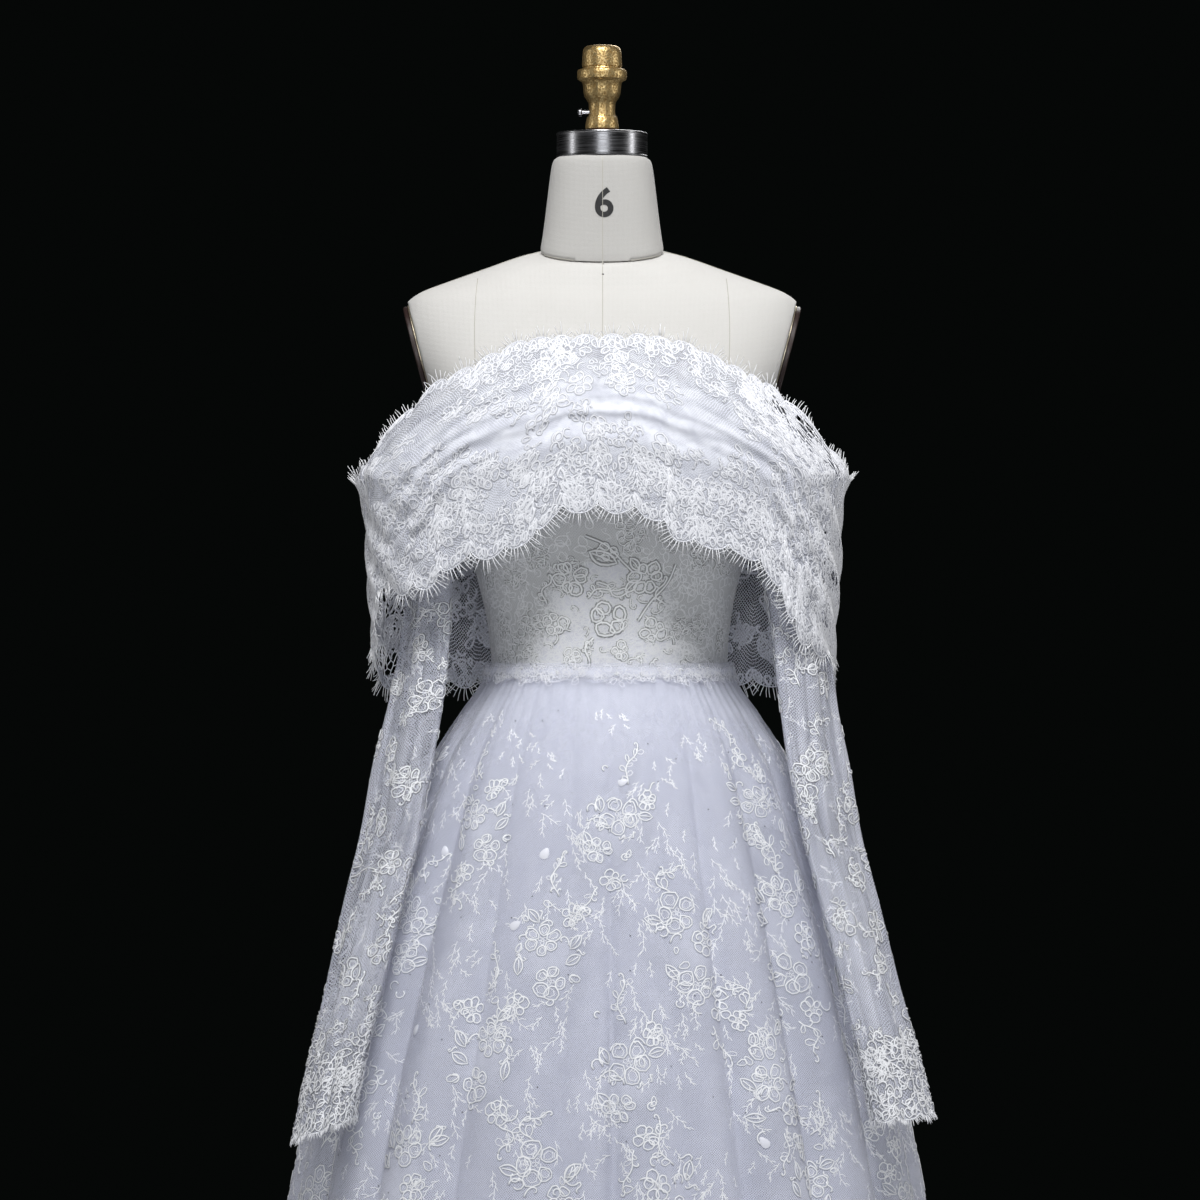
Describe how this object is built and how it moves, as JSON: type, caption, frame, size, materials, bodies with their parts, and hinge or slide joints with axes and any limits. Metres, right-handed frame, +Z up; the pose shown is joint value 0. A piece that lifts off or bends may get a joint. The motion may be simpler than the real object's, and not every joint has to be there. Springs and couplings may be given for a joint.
{
  "type": "wedding dress on a limbless dress form",
  "caption": "Off-shoulder white lace wedding dress with a draped lace cape, long sheer sleeves and a full gathered skirt over satin, worn by a limbless linen dress form on a round stand.",
  "frame": {"origin": "centre of the stand's flat underside, on the floor", "axes": "+Z up, the dress faces -Y, +X is the wearer's left side"},
  "size_m": [0.8579, 0.8525, 1.6803],
  "materials": {
    "lace": "white corded lace, matt",
    "satin": "soft white satin lining",
    "linen": "natural cream linen cover",
    "steel": "brushed and polished steel",
    "gold": "cast, hammered texture, gold lacquer",
    "brass": "polished edge",
    "dark_plate": "dark lacquer",
    "fibre": "dark red fibre washer",
    "dark_iron": "black painted iron"
  },
  "bodies": {
    "dress_and_form": {"form_torso": "linen", "form_neck": "linen", "neck_cap": "steel", "arm_rim_left": "brass", "arm_rim_right": "brass", "arm_plate_left": "dark_plate", "arm_plate_right": "dark_plate", "finial_washer": "fibre", "finial": "gold", "stand_base": "dark_iron", "stand_pole": "steel", "bodice_front_centre": "lace", "bodice_front_left": "lace", "bodice_front_right": "lace", "bodice_back_left": "lace", "bodice_back_right": "lace", "waist_trim": "lace", "skirt_lining_gore_1": "satin", "skirt_lining_gore_2": "satin", "skirt_lining_gore_3": "satin", "skirt_lining_gore_4": "satin", "skirt_lining_gore_5": "satin", "skirt_lining_gore_6": "satin", "overskirt_front": "lace", "overskirt_back": "lace", "cape_front": "lace", "cape_back": "lace", "cape_front_fringe": "lace", "cape_top_fringe": "lace", "cape_back_fringe": "lace", "sleeve_left_upper": "lace", "sleeve_left_under": "lace", "sleeve_right_upper": "lace", "sleeve_right_under": "lace"},
    "thumb_screw": {"finial_screw": "steel"}
  },
  "joints": [
    {"name": "thumb_screw_turn", "type": "hinge", "parent": "dress_and_form", "child": "thumb_screw", "pos_m": [-0.0195, 0, 1.615], "axis": [-1, 0, 0], "continuous": true}
  ]
}
